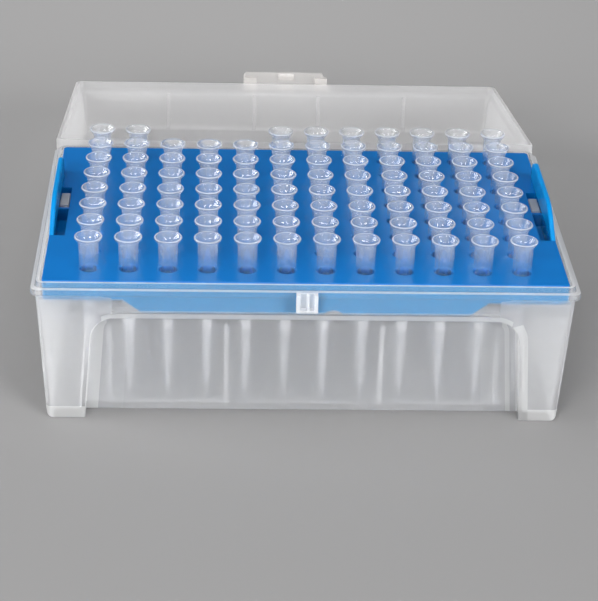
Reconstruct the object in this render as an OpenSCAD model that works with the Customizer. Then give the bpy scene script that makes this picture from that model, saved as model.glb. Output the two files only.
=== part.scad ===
// Hinged box of 96-position pipette tips: a drafted open base with two
// foot runners, a drop-in rack plate with side grips, a lid on a snap
// hinge that lies back behind the base, and the tips that hang in the
// plate. Origin: centre of the footprint on the table, +X to the right
// of the latch side, +Y to the hinge side, +Z up. Millimetres.

/* [Tip grid] */
// Distance between neighbouring tips
pitch = 9; // [8.8:0.1:9.2]
// Number of columns along X
columns = 12; // [12:1:12]
// Number of rows along Y
rows = 8; // [8:1:8]
// Columns whose place in the hinge-side row is empty
empty_columns = [3, 4, 5]; // [1:1:12]
// Height of the tips' rims above the table
rim_z = 44; // [43.6:0.1:45]

/* [Tips] */
// Rim diameter of a tip
tip_rim_d = 6.45; // [6:0.05:6.8]
// Body diameter under the flared rim
tip_neck_d = 4.55; // [4.4:0.05:5]
// Diameter of the shoulder that sits on the plate
tip_seat_d = 4.3; // [4.25:0.05:4.5]
// Diameter just under the plate
tip_shank_d = 3.5; // [3.2:0.05:3.7]
// Diameter half way down, where the fine part begins
tip_mid_d = 2.6; // [2.4:0.05:2.9]
// Diameter above the last step
tip_low_d = 1.95; // [1.8:0.05:2.2]
// Diameter of the point
tip_point_d = 1.15; // [1:0.05:1.3]
// Overall length of a tip
tip_len = 39.6; // [38:0.1:41]
// Wall thickness of a tip
tip_wall = 0.38; // [0.3:0.02:0.45]

/* [Rack plate] */
// Width of the plate
plate_w = 119.6; // [118:0.1:119.7]
// Depth of the plate
plate_d = 76.5; // [75:0.1:76.6]
// Thickness of the deck and of the skirt
plate_t = 1.6; // [1.2:0.1:2]
// Diameter of a tip hole
hole_d = 4.0; // [3.8:0.05:4.1]
// Depth of the skirt under the deck's top face
skirt_h = 4.7; // [4:0.1:5.5]
// Half width of the deep apron at the skirt
apron_top = 41.7; // [38:0.1:44]
// Half width of the deep apron at its lower edge
apron_low = 37.4; // [34:0.1:38]
// Height of a side grip above the deck
grip_h = 5.2; // [4:0.1:5.3]
// Thickness of a side grip
grip_t = 1.2; // [1:0.1:1.3]
// Width of the slot beside a grip
slot_w = 2.5; // [2.2:0.1:3.2]

/* [Base] */
// Height of the base up to the ledge that the lid sits on
base_h = 34.6; // [34:0.1:35]
// Overall width over the rim
rim_w = 124.6; // [124:0.1:125]
// Overall depth over the rim
rim_d = 80.8; // [80.4:0.1:81.2]
// Thickness of the rim
rim_t = 1.65; // [1.4:0.05:2]
// Height of the lip inside the lid
lip_h = 1.3; // [1:0.1:1.4]
// Width of the ledge round the lip
ledge = 1.2; // [1.1:0.05:1.25]
// Wall thickness
wall = 1.1; // [1:0.05:1.2]
// Inward lean of the outer walls over their whole height
lean = 1.7; // [1.2:0.1:2]
// Corner radius of the rim
rim_r = 1.8; // [1.6:0.1:2.4]
// Corner radius of the mouth that takes the rack plate
mouth_r = 0.8; // [0.6:0.1:1]

/* [Arched recess] */
// Half width of the recess at the foot of the outer wall
recess_w = 50.6; // [50:0.1:51.2]
// How much narrower each side of the recess is at its top
recess_taper = 1.7; // [0.5:0.1:2.4]
// Height of the recess
recess_h = 26.9; // [26.5:0.1:27]
// Distance of the recess floor from the centre
recess_y = 34.6; // [34.5:0.1:34.8]
// Corner radius at the top of the recess
recess_r = 5; // [3:0.5:7]
// Height of the raised floor between the runners
runner_h = 0.65; // [0.4:0.05:1]

/* [Lid] */
// Height of the lid
lid_h = 14.7; // [14.3:0.1:15.5]
// Height of the stepped-out band that goes round the lip
band_h = 3.2; // [3:0.1:3.6]
// Wall thickness of the lid
lid_wall = 1.1; // [1:0.05:1.15]
// Angle by which the lid lies open
lid_open = 190.5; // [0:0.5:190.5]

/* [Hinge] */
// Distance of the hinge axis from the centre
hinge_y = 42.7; // [42.6:0.1:43]
// Height of the hinge axis
hinge_z = 35.1; // [35:0.1:35.4]
// Distance of each hinge from the middle
hinge_x = 46.5; // [40:0.5:50]
// Radius of the hinge pin
pin_r = 1.0; // [0.9:0.05:1.1]
// Radial running clearance of the pin
pin_gap = 0.06; // [0.03:0.01:0.1]

/* [Latch] */
// Width of the catch block on the base
catch_w = 4.9; // [4:0.1:5.4]
// Height of the catch block
catch_h = 4.5; // [3.5:0.1:5]
// Half width of the lid's finger tab
tab_w = 12.7; // [12:0.1:14]
// How far the tab reaches past the lid's rim
tab_drop = 2.8; // [2:0.1:3.2]

/* [Hidden] */
deck_z = rim_z - 8.1;            // deck top face, flush with the lip
lip_z = base_h + lip_h;          // top of the lip
lip_x = rim_w / 2 - ledge;       // outer faces of the lip
lip_y = rim_d / 2 - ledge;
in_x = 60.0;                     // inner faces at the mouth
in_y = 38.4;
out_x = in_x + wall + 0.1;       // outer wall just under the rim
out_y = in_y + wall;
floor_z = 1.9;                   // top face of the floor
lid_z = base_h + 0.1;            // lower edge of the closed lid
lid_top = lid_z + lid_h;
tab_y = 43.3;                    // inner face of the finger tab
frosted = [0.88, 0.90, 0.92, 0.55];
blue = [0.08, 0.42, 0.78];
tip_clear = [0.82, 0.87, 0.95, 0.7];

// four round posts that span a rounded rectangle, for hulls
module slab(hx, hy, r, z, h = 0.02)
    for (x = [-hx + r, hx - r], y = [-hy + r, hy - r])
        translate([x, y, z]) cylinder(r = r, h = h, $fn = 32);

// rounded rectangle with true arcs
module rounded(hx, hy, r) {
    square([2 * hx - 2 * r, 2 * hy], center = true);
    square([2 * hx, 2 * hy - 2 * r], center = true);
    for (x = [-hx + r, hx - r], y = [-hy + r, hy - r])
        translate([x, y]) circle(r = r, $fn = 48);
}

// the tapered space of the arched recess on the latch side; grow makes
// it larger by one wall for the matching inner face
module recess(grow = 0) {
    w = recess_w + grow;
    top = recess_h + grow;
    r = recess_r + grow;
    hull() {
        for (s = [-1, 1]) {
            translate([s * (w - r - recess_taper), -45, top - r])
                rotate([-90, 0, 0]) cylinder(r = r, h = 6.8, $fn = 48);
            translate([s * (w - r - recess_taper + 0.35), -recess_y - 0.2, top - r])
                rotate([-90, 0, 0]) cylinder(r = r, h = 0.2 + grow, $fn = 48);
            translate([s * (w - 0.1) - 0.5, -45, -5]) cube([1, 6.8, 1]);
            translate([s * (w + 0.25) - 0.5, -recess_y - 0.2, -5])
                cube([1, 0.2 + grow, 1]);
        }
    }
}

module base_outer()
    hull() {
        slab(out_x - lean - 1.1, out_y - lean - 0.5, 0.9, 0);
        slab(out_x - lean - 0.45, out_y - lean - 0.1, 1.0, 0.6);
        slab(out_x - lean - 0.08, out_y - lean + 0.02, 1.1, 1.9);
        slab(out_x, out_y, 1.2, base_h - rim_t);
    }

module base_inner()
    hull() {
        slab(out_x - lean - wall, out_y - lean - wall, 0.8, floor_z);
        slab(in_x, in_y, mouth_r, lip_z + 1);
    }

// straight-walled pocket that takes the rack plate
module plate_pocket()
    translate([0, 0, recess_h + wall]) linear_extrude(height = 12)
        rounded(in_x, in_y, mouth_r);

module hinge_ears()
    for (side = [-1, 1]) for (e = [-1, 1])
        translate([side * hinge_x + e * 4.45 - 1.15, 0, 0])
            difference() {
                union() {
                    translate([0, hinge_y, hinge_z]) rotate([0, 90, 0])
                        cylinder(r = 2.05, h = 2.3, $fn = 48);
                    translate([0, 40, base_h - rim_t])
                        cube([2.3, hinge_y - 40, 1.6]);
                    translate([0, hinge_y - 1.2, base_h - rim_t])
                        cube([2.3, 2.4, 1.6]);
                }
                translate([-1, hinge_y, hinge_z]) rotate([0, 90, 0])
                    cylinder(r = pin_r + pin_gap, h = 5, $fn = 48);
                // snap-in mouth for the pin
                translate([-1, hinge_y, hinge_z]) rotate([45, 0, 0])
                    translate([0, -0.72, 0]) cube([5, 1.44, 4]);
            }

module catch_block() {
    w = catch_w / 2;
    translate([0, -rim_d / 2, base_h - catch_h]) difference() {
        translate([-w, -1.7, 0]) cube([catch_w, 2.6, catch_h]);
        translate([-w + 0.9, -2, 0.6]) cube([w - 1.25, 1.5, catch_h]);
        translate([0.45, -2, 0.6]) cube([w - 1.1, 1.5, catch_h]);
    }
}

// posts that stand in the plate's side slots
module side_posts()
    for (s = [-1, 1]) {
        translate([s * 57.35 - 1.05, 2.6, 22]) cube([2.1, 7, deck_z - 22]);
        translate([s * 59 - 1.6, 3, 22]) cube([3.2, 1.2, 8.6]);
        translate([s * 59 - 1.6, 7.8, 22]) cube([3.2, 1.2, 8.6]);
    }

// tapered gussets on the inner face of a recess panel
module gussets()
    for (m = [0, 1]) mirror([0, m, 0])
        for (x = [-45, -18, 18, 45])
            translate([x - 0.5, 0, 0]) rotate([90, 0, 90])
                linear_extrude(height = 1.0)
                    polygon([[-recess_y + 0.6, floor_z - 0.5],
                             [-recess_y + 3.6, floor_z - 0.5],
                             [-recess_y + 1.9, 22.2],
                             [-recess_y + 0.6, 23]]);

module base() color(frosted) {
    difference() {
        union() {
            difference() {
                base_outer();
                recess();
                mirror([0, 1, 0]) recess();
                // raised floor between the runners
                translate([-recess_w, -60, -1])
                    cube([2 * recess_w, 120, 1 + runner_h]);
            }
            translate([0, 0, base_h - rim_t]) linear_extrude(height = rim_t)
                rounded(rim_w / 2, rim_d / 2, rim_r);
            translate([0, 0, base_h]) linear_extrude(height = lip_h)
                rounded(lip_x, lip_y, mouth_r + 0.8);
        }
        difference() {
            base_inner();
            recess(wall);
            mirror([0, 1, 0]) recess(wall);
        }
        plate_pocket();
    }
    hinge_ears();
    catch_block();
    side_posts();
    gussets();
}

module grip_profile()
    polygon([[-14.6, -1], [-14.6, 0], [-12, 1.3], [-8, 3.6], [-4, 4.9],
             [-1, grip_h], [19.4, grip_h], [21.4, 4.4], [22.4, 2.6],
             [22.6, -1]]);

module apron()
    translate([0, -plate_d / 2 + 1.2, 0]) rotate([90, 0, 0])
        linear_extrude(height = 1.2)
            difference() {
                polygon([[-apron_top, deck_z - skirt_h + 0.5],
                         [-apron_top, deck_z - skirt_h],
                         [-apron_low, recess_h + wall],
                         [apron_low, recess_h + wall],
                         [apron_top, deck_z - skirt_h],
                         [apron_top, deck_z - skirt_h + 0.5]]);
                translate([6.2, recess_h + wall - 2])
                    circle(r = 2.95, $fn = 48);
            }

// closed pockets under the side slots, with an open shaft for each post
module sleeves()
    for (s = [-1, 1]) {
        difference() {
            translate([s * 56.95 - 1.85, -15.6, deck_z - skirt_h])
                cube([3.7, 29.4, skirt_h - plate_t + 0.1]);
            translate([s * 57.35 - 1.25, -14.6, deck_z - skirt_h + 1])
                cube([2.5, 27.4, 5]);
            translate([s * 57.35 - 1.25, 2.4, 20]) cube([2.5, 7.4, 20]);
        }
        for (y = [1.5, 9.8])
            translate([s * 57.35 - 1.3, y, deck_z - skirt_h + 0.1])
                cube([2.6, 0.9, skirt_h - 0.6]);
    }

module rack_plate() color(blue) {
    px = plate_w / 2;
    py = plate_d / 2;
    translate([0, 0, deck_z - plate_t]) linear_extrude(height = plate_t)
        difference() {
            rounded(px, py, mouth_r + 0.2);
            for (c = [1:columns], r = [1:rows])
                translate([(c - 6.5) * pitch, (r - 4.5) * pitch])
                    circle(d = hole_d, $fn = 48);
            for (s = [-1, 1])
                translate([s * (px - grip_t - slot_w / 2) - slot_w / 2, -14.6])
                    square([slot_w, 27.4]);
        }
    translate([0, 0, deck_z - skirt_h]) linear_extrude(height = skirt_h - plate_t)
        difference() {
            rounded(px, py, mouth_r + 0.2);
            rounded(px - 1.2, py - 1.2, 0.5);
        }
    apron();
    mirror([0, 1, 0]) apron();
    sleeves();
    for (s = [-1, 1])
        translate([s * (px - grip_t / 2) - grip_t / 2, 0, deck_z])
            rotate([90, 0, 90]) linear_extrude(height = grip_t) grip_profile();
}

module lid_shell()
    difference() {
        union() {
            translate([0, 0, lid_z]) linear_extrude(height = band_h)
                rounded(rim_w / 2 + 0.1, rim_d / 2 - 0.1, rim_r);
            hull() {
                slab(rim_w / 2 - 0.7, rim_d / 2 - 0.9, 1.5, lid_z + band_h - 0.5);
                slab(rim_w / 2 - 1.8, rim_d / 2 - 2.0, 1.4, lid_top - 1.8);
                slab(rim_w / 2 - 2.4, rim_d / 2 - 2.6, 1.3, lid_top - 0.5);
                slab(rim_w / 2 - 3.2, rim_d / 2 - 3.4, 1.2, lid_top - 0.02);
            }
        }
        translate([0, 0, lid_z - 1]) linear_extrude(height = 1 + band_h - 0.7)
            rounded(lip_x + 0.2, lip_y + 0.2, mouth_r + 0.8);
        hull() {
            slab(rim_w / 2 - 0.7 - lid_wall, rim_d / 2 - 0.9 - lid_wall, 0.9,
                 lid_z + band_h - 0.8);
            slab(rim_w / 2 - 2.0 - lid_wall, rim_d / 2 - 2.2 - lid_wall, 0.8,
                 lid_top - lid_wall - 0.7);
            slab(rim_w / 2 - 2.7 - lid_wall, rim_d / 2 - 2.9 - lid_wall, 0.8,
                 lid_top - lid_wall - 0.02);
        }
    }

module lid_ribs()
    for (x = [-35, -9.5, 9.5, 35])
        translate([x - 0.6, 0, 0]) rotate([90, 0, 90])
            linear_extrude(height = 1.2)
                polygon([[-rim_d / 2 + 1.5, lid_z + band_h],
                         [-rim_d / 2 + 2.6, lid_z + band_h],
                         [-rim_d / 2 + 3.8, lid_top - 0.9],
                         [-rim_d / 2 + 2.9, lid_top - 0.9]]);

module finger_tab() {
    // outer plate with one slanted end
    translate([0, -tab_y, 0]) rotate([90, 0, 0]) linear_extrude(height = 1.1)
        polygon([[-tab_w, lid_z - tab_drop + 0.8], [-tab_w + 0.7, lid_z - tab_drop],
                 [tab_w - 2.0, lid_z - tab_drop], [tab_w, lid_z + 1.2],
                 [tab_w, lid_z + 2.4], [-tab_w, lid_z + 2.4]]);
    // stand-off ribs that carry it: two deep, one short over the catch
    for (x = [[-12.7, 4.2], [8.4, 4.1]]) {
        translate([x[0], -tab_y - 0.2, lid_z + 0.6]) cube([x[1], tab_y - 40.1, 1.8]);
        translate([x[0], -tab_y - 0.2, lid_z - tab_drop + 1.2])
            cube([x[1], tab_y - 40.7, tab_drop + 0.4]);
    }
    translate([-2.3, -tab_y - 0.2, lid_z + 0.6]) cube([4.6, tab_y - 40.1, 1.8]);
    // hook that snaps past the catch
    translate([-2.3, -tab_y, lid_z - tab_drop + 0.3])
        rotate([90, 0, 90]) linear_extrude(height = 4.6)
            polygon([[-0.2, 0], [0.35, 0.5], [1.05, 0.5], [1.05, 0.9], [-0.2, 2]]);
}

module hinge_arms()
    for (side = [-1, 1]) translate([side * hinge_x, 0, 0]) {
        translate([-5.6, hinge_y, hinge_z]) rotate([0, 90, 0])
            cylinder(r = pin_r, h = 11.2, $fn = 48);
        translate([-3, hinge_y, hinge_z]) rotate([0, 90, 0])
            cylinder(r = 1.6, h = 6, $fn = 48);
        translate([-3, rim_d / 2 - 0.6, hinge_z - 0.3])
            cube([6, hinge_y - rim_d / 2 + 0.6, 1.9]);
    }

module lid() color(frosted)
    translate([0, hinge_y, hinge_z]) rotate([-lid_open, 0, 0])
        translate([0, -hinge_y, -hinge_z]) {
            lid_shell();
            lid_ribs();
            finger_tab();
            hinge_arms();
        }

// one hollow tip, rim at z = 0
module tip()
    rotate_extrude($fn = 48)
        polygon([
            [tip_rim_d / 2, -0.05], [tip_rim_d / 2, -0.45],
            [tip_neck_d / 2 + 0.05, -1.7], [tip_neck_d / 2, -2.2],
            [tip_seat_d / 2, deck_z - rim_z],
            [tip_shank_d / 2, deck_z - rim_z],
            [tip_shank_d / 2 - 0.1, -12], [tip_mid_d / 2 + 0.05, -20.5],
            [tip_mid_d / 2 - 0.12, -21.5], [tip_low_d / 2, -33.2],
            [tip_point_d / 2 + 0.1, -34.0], [tip_point_d / 2, -tip_len],
            [tip_point_d / 2 - 0.3, -tip_len],
            [tip_point_d / 2 - 0.25, -34.2],
            [tip_low_d / 2 - tip_wall, -33.2],
            [tip_mid_d / 2 - 0.12 - tip_wall, -21.5],
            [tip_shank_d / 2 - 0.1 - tip_wall, -12],
            [tip_shank_d / 2 - 0.05 - tip_wall, -8.8],
            [tip_neck_d / 2 - 0.5, -1.3],
            [tip_rim_d / 2 - 0.55, -0.05], [tip_rim_d / 2 - 0.3, 0],
            [tip_rim_d / 2 - 0.05, 0]]);

function taken(c, r) = !(r == rows && len([for (e = empty_columns) if (e == c) e]) > 0);

module tips_column(c) color(tip_clear)
    for (r = [1:rows]) if (taken(c, r))
        translate([(c - 6.5) * pitch, (r - 4.5) * pitch, rim_z]) tip();

base();
rack_plate();
lid();
tips_column(1);  // tips_column_01
tips_column(2);  // tips_column_02
tips_column(3);  // tips_column_03
tips_column(4);  // tips_column_04
tips_column(5);  // tips_column_05
tips_column(6);  // tips_column_06
tips_column(7);  // tips_column_07
tips_column(8);  // tips_column_08
tips_column(9);  // tips_column_09
tips_column(10);  // tips_column_10
tips_column(11);  // tips_column_11
tips_column(12);  // tips_column_12
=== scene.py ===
import math
import random

import bpy
import numpy as np
from mathutils import Matrix, Vector


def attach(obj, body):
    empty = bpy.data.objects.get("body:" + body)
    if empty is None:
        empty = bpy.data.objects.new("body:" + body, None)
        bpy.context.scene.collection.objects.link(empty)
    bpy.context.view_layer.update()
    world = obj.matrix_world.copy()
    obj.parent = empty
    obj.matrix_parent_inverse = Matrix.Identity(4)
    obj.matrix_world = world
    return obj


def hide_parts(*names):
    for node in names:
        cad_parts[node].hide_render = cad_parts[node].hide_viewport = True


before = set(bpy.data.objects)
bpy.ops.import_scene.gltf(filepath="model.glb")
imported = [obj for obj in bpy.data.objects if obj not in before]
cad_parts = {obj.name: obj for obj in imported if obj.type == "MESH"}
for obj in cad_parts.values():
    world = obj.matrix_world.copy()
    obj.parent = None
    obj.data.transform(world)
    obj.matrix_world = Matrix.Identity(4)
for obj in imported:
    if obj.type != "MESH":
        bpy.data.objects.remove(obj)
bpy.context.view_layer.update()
rng = random.Random(7)

# ---------------------------------------------------------------- camera
CAM = Vector((-0.021261, -0.458601, 0.247937))
R_ = Vector((0.99910, -0.03209, 0.02779)).normalized()
F_ = Vector((0.04126, 0.88832, -0.45738)).normalized()
U_ = R_.cross(F_).normalized()
R_ = F_.cross(U_).normalized()
cam_data = bpy.data.cameras.new("camera")
cam_data.sensor_width = 36.0
cam_data.sensor_fit = "AUTO"
cam_data.lens = 125.13
cam_data.clip_start = 0.01
cam_data.clip_end = 20.0
cam = bpy.data.objects.new("camera", cam_data)
bpy.context.scene.collection.objects.link(cam)
cam.matrix_world = Matrix((
    (R_.x, U_.x, -F_.x, CAM.x),
    (R_.y, U_.y, -F_.y, CAM.y),
    (R_.z, U_.z, -F_.z, CAM.z),
    (0, 0, 0, 1)))
bpy.context.scene.camera = cam

# ---------------------------------------------------------------- sizes, mm
BASE_H, RIM_T, LIP_H = 34.6, 1.65, 1.3
LIP_Z = BASE_H + LIP_H
DECK_Z, RIM_Z = 35.9, 44.0
OUT_X, OUT_Y, LEAN, WALL = 61.2, 39.5, 1.7, 1.1
REC_W, REC_TOP, REC_Y, REC_R, REC_TAPER = 50.6, 26.9, 34.6, 5.0, 0.078
HINGE_Y, HINGE_Z, HINGE_X = 42.7, 35.1, 46.5
LID_OPEN = 190.5
PITCH = 9.0


# ---------------------------------------------------------------- mesh tools
class Build:
    """Collects points in mm and faces, then makes one Blender mesh in metres."""

    def __init__(self):
        self.v, self.f, self.m, self.mat = [], [], [], 0

    def add(self, pts):
        start = len(self.v)
        self.v.extend((float(p[0]), float(p[1]), float(p[2])) for p in pts)
        return list(range(start, len(self.v)))

    def loft(self, rings, mats=None):
        """Quads between neighbouring rings. mats(k, i) gives the material of quad i in strip k."""
        for k, (a, b) in enumerate(zip(rings, rings[1:])):
            n = len(a)
            for i in range(n):
                j = (i + 1) % n
                self.f.append((a[i], a[j], b[j], b[i]))
                self.m.append(mats(k, i) if mats else self.mat)

    def face(self, idx):
        self.f.append(tuple(idx))
        self.m.append(self.mat)

    def prism(self, poly, axis, lo, hi, edge=0.0, taper=None):
        """A closed prism of a convex or simple polygon, with its end edges eased."""
        poly = np.array(poly, float)
        c = poly.mean(0)
        n = len(poly)

        def inset(d):
            # moves each corner inwards along the sum of its two edges' normals
            out = []
            area = 0.5 * sum(poly[i][0] * poly[(i + 1) % n][1] - poly[(i + 1) % n][0] * poly[i][1] for i in range(n))
            s = 1.0 if area > 0 else -1.0
            for i in range(n):
                e0 = poly[i] - poly[i - 1]
                e1 = poly[(i + 1) % n] - poly[i]
                n0 = np.array([-e0[1], e0[0]]) / max(np.hypot(*e0), 1e-9) * s
                n1 = np.array([-e1[1], e1[0]]) / max(np.hypot(*e1), 1e-9) * s
                k = 1 + float(n0 @ n1)
                out.append(poly[i] + (n0 + n1) * d / max(k, 0.35))
            return np.array(out)

        def place(q, t):
            if axis == "x":
                return [(t, a, b) for a, b in q]
            if axis == "y":
                return [(a, t, b) for a, b in q]
            return [(a, b, t) for a, b in q]

        e = edge
        if e > 0:
            levels = [(lo, e), (lo + 0.3 * e, 0.3 * e), (lo + e, 0.0), (hi - e, 0.0), (hi - 0.3 * e, 0.3 * e), (hi, e)]
        else:
            levels = [(lo, 0.0), (hi, 0.0)]
        rings = []
        for t, d in levels:
            q = inset(d) if d else poly
            if taper:
                q = taper(q, t)
            rings.append(self.add(place(q, t)))
        self.loft(rings)
        self.face(rings[0][::-1])
        self.face(rings[-1])
        return rings

    def block(self, lo, hi, r=0.25, seg=2):
        """A box with rounded vertical edges and eased ends."""
        (x0, y0, z0), (x1, y1, z1) = lo, hi
        r = min(r, 0.49 * (x1 - x0), 0.49 * (y1 - y0), 0.49 * (z1 - z0))
        poly = []
        for cx, cy, a0 in ((x1 - r, y0 + r, -90), (x1 - r, y1 - r, 0), (x0 + r, y1 - r, 90), (x0 + r, y0 + r, 180)):
            for k in range(seg + 1):
                a = math.radians(a0 + 90 * k / seg)
                poly.append((cx + r * math.cos(a), cy + r * math.sin(a)))
        self.prism(poly, "z", z0, z1, edge=r * 0.9)

    def make(self, name, material, body, angle=32.0, matrix=None, weighted=True):
        me = bpy.data.meshes.new(name)
        pts = np.array(self.v, float)
        if matrix is not None:
            m = np.array(matrix, float)
            pts = pts @ m[:3, :3].T + m[:3, 3]
        me.from_pydata([tuple(p) for p in pts * 0.001], [], self.f)
        me.polygons.foreach_set("material_index", self.m)
        me.update()
        import bmesh
        bm = bmesh.new()
        bm.from_mesh(me)
        bmesh.ops.remove_doubles(bm, verts=bm.verts, dist=1e-7)
        bmesh.ops.dissolve_degenerate(bm, edges=bm.edges, dist=1e-7)
        bmesh.ops.recalc_face_normals(bm, faces=bm.faces)
        bm.to_mesh(me)
        bm.free()
        me.shade_smooth()
        me.set_sharp_from_angle(angle=math.radians(angle))
        for one in material if isinstance(material, (list, tuple)) else [material]:
            me.materials.append(one)
        ob = bpy.data.objects.new(name, me)
        bpy.context.scene.collection.objects.link(ob)
        if weighted:
            w = ob.modifiers.new("weighted", "WEIGHTED_NORMAL")
            w.keep_sharp = True
            w.weight = 80
        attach(ob, body)
        return ob


def rounded_path(pts, radii, seg=4):
    """A polyline with arcs at its inner corners; the two ends are left out."""
    out = []
    for i in range(1, len(pts) - 1):
        p, q, s = (np.array(pts[j], float) for j in (i - 1, i, i + 1))
        u, w = (p - q) / np.linalg.norm(p - q), (s - q) / np.linalg.norm(s - q)
        half = 0.5 * math.acos(max(-1, min(1, float(u @ w))))
        r = radii[i - 1]
        t = r / math.tan(half)
        c = q + (u + w) / np.linalg.norm(u + w) * r / math.sin(half)
        a, b = q + u * t, q + w * t
        a0 = math.atan2(*(a - c)[::-1])
        a1 = math.atan2(*(b - c)[::-1])
        d = (a1 - a0 + math.pi) % (2 * math.pi) - math.pi
        for k in range(seg + 1):
            g = a0 + d * k / seg
            out.append(c + r * np.array([math.cos(g), math.sin(g)]))
    return np.array(out)


class Stations:
    """Places round a rounded rectangle, anticlockwise from the front-left arc's end."""

    def __init__(self, front_x, side_y, arc=8):
        rows = []  # ax, ay, sx, sy, nx, ny, kind

        def arc_rows(cx, cy, a0):
            for k in range(1, arc):
                a = math.radians(a0 + 90.0 * k / arc)
                rows.append((0, 0, cx, cy, math.cos(a), math.sin(a), "c"))

        fx, sy = sorted(front_x), sorted(side_y)
        # the ends of the straight runs, where the arcs start
        rows.append((0, 0, -1, -1, 0, -1, "f"))
        rows += [(x, 0, 0, -1, 0, -1, "f") for x in fx]
        rows.append((0, 0, 1, -1, 0, -1, "f"))
        arc_rows(1, -1, -90)
        rows.append((0, 0, 1, -1, 1, 0, "s"))
        rows += [(0, y, 1, 0, 1, 0, "s") for y in sy]
        rows.append((0, 0, 1, 1, 1, 0, "s"))
        arc_rows(1, 1, 0)
        rows.append((0, 0, 1, 1, 0, 1, "b"))
        rows += [(x, 0, 0, 1, 0, 1, "b") for x in fx[::-1]]
        rows.append((0, 0, -1, 1, 0, 1, "b"))
        arc_rows(-1, 1, 90)
        rows.append((0, 0, -1, 1, -1, 0, "s"))
        rows += [(0, y, -1, 0, -1, 0, "s") for y in sy[::-1]]
        rows.append((0, 0, -1, -1, -1, 0, "s"))
        arc_rows(-1, -1, 180)
        self.kind = [r[6] for r in rows]
        a = np.array([r[:6] for r in rows], float)
        self.ax, self.ay, self.sx, self.sy, self.nx, self.ny = a.T
        self.n = len(rows)
        self.nf = len(fx) + 2          # stations of the front run
        self.front = list(range(self.nf))
        self.back = [i for i, k in enumerate(self.kind) if k == "b"]

    def xy(self, hx, hy, r, ax=None):
        ax = self.ax if ax is None else ax
        cx, cy = np.asarray(hx) - r, np.asarray(hy) - r
        return ax + self.sx * cx + r * self.nx, self.ay + self.sy * cy + r * self.ny

    def cap(self, b, ring, rows_mid=0):
        """Fills a ring with strips from front to back and one polygon at each end."""
        f, k = self.front, self.back[::-1]
        for i in range(len(f) - 1):
            b.face((ring[f[i]], ring[f[i + 1]], ring[k[i + 1]], ring[k[i]]))
        right = list(range(f[-1], self.back[0] + 1))
        b.face([ring[i] for i in right])
        left = list(range(self.back[-1], self.n)) + [0]
        b.face([ring[i] for i in left])


def interp(x, xs, ys):
    return np.interp(x, xs, ys)


# ---------------------------------------------------------------- materials
def node_tree(name):
    m = bpy.data.materials.new(name)
    m.use_nodes = True
    nt = m.node_tree
    nt.nodes.clear()
    return m, nt, nt.nodes, nt.links


def noise(nt, scale, detail=3.0, rough=0.5, coord="Object", distort=0.0, stretch=None):
    tc = nt.nodes.new("ShaderNodeTexCoord")
    n = nt.nodes.new("ShaderNodeTexNoise")
    n.inputs["Scale"].default_value = scale
    n.inputs["Detail"].default_value = detail
    n.inputs["Roughness"].default_value = rough
    n.inputs["Distortion"].default_value = distort
    if stretch:
        mp = nt.nodes.new("ShaderNodeMapping")
        mp.inputs["Scale"].default_value = stretch
        nt.links.new(tc.outputs[coord], mp.inputs["Vector"])
        nt.links.new(mp.outputs["Vector"], n.inputs["Vector"])
    else:
        nt.links.new(tc.outputs[coord], n.inputs["Vector"])
    return n.outputs["Fac"]


def ramp(nt, fac, stops):
    r = nt.nodes.new("ShaderNodeValToRGB")
    while len(r.color_ramp.elements) < len(stops):
        r.color_ramp.elements.new(0.5)
    for e, (p, c) in zip(r.color_ramp.elements, stops):
        e.position = p
        e.color = (c if len(c) == 4 else (*c, 1.0)) if isinstance(c, tuple) else (c, c, c, 1.0)
    nt.links.new(fac, r.inputs["Fac"])
    return r.outputs["Color"]


def map_range(nt, fac, lo, hi):
    m = nt.nodes.new("ShaderNodeMapRange")
    m.inputs["To Min"].default_value = lo
    m.inputs["To Max"].default_value = hi
    nt.links.new(fac, m.inputs["Value"])
    return m.outputs["Result"]


def bump(nt, height, strength, distance):
    b = nt.nodes.new("ShaderNodeBump")
    b.inputs["Strength"].default_value = strength
    b.inputs["Distance"].default_value = distance
    nt.links.new(height, b.inputs["Height"])
    return b.outputs["Normal"]


def polypropylene(name, tint, clear, glass, haze_tint, back=0.5, rough=(0.28, 0.40), bump_strength=0.08):
    """Translucent polypropylene: part of the light goes straight on (clear), part is blurred on its way
    through (glass), and the rest is scattered by the wall to both sides (haze)."""
    m, nt, nodes, links = node_tree(name)
    out = nodes.new("ShaderNodeOutputMaterial")
    cloud = noise(nt, 38.0, 1.0, 0.4)
    fine = noise(nt, 900.0, 2.0, 0.5)
    nrm = bump(nt, fine, bump_strength, 0.0001)
    p = nodes.new("ShaderNodeBsdfPrincipled")
    links.new(ramp(nt, cloud, [(0.15, tuple(0.975 * c for c in tint)), (0.85, tint)]), p.inputs["Base Color"])
    links.new(map_range(nt, cloud, *rough), p.inputs["Roughness"])
    p.inputs["IOR"].default_value = 1.49
    p.inputs["Transmission Weight"].default_value = glass
    links.new(nrm, p.inputs["Normal"])
    tr = nodes.new("ShaderNodeBsdfTranslucent")
    links.new(ramp(nt, cloud, [(0.15, tuple(0.975 * c for c in haze_tint)), (0.85, haze_tint)]), tr.inputs["Color"])
    links.new(nrm, tr.inputs["Normal"])
    # the Principled shader's own diffuse part is the light thrown back, so the translucent part matches it
    mix = nodes.new("ShaderNodeMixShader")
    mix.inputs["Fac"].default_value = back
    links.new(p.outputs["BSDF"], mix.inputs[1])
    links.new(tr.outputs["BSDF"], mix.inputs[2])
    tp = nodes.new("ShaderNodeBsdfTransparent")
    tp.inputs["Color"].default_value = (1.0, 1.0, 1.0, 1.0)
    mix2 = nodes.new("ShaderNodeMixShader")
    mix2.inputs["Fac"].default_value = clear
    links.new(mix.outputs["Shader"], mix2.inputs[1])
    links.new(tp.outputs["BSDF"], mix2.inputs[2])
    links.new(mix2.outputs["Shader"], out.inputs["Surface"])
    return m


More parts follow.
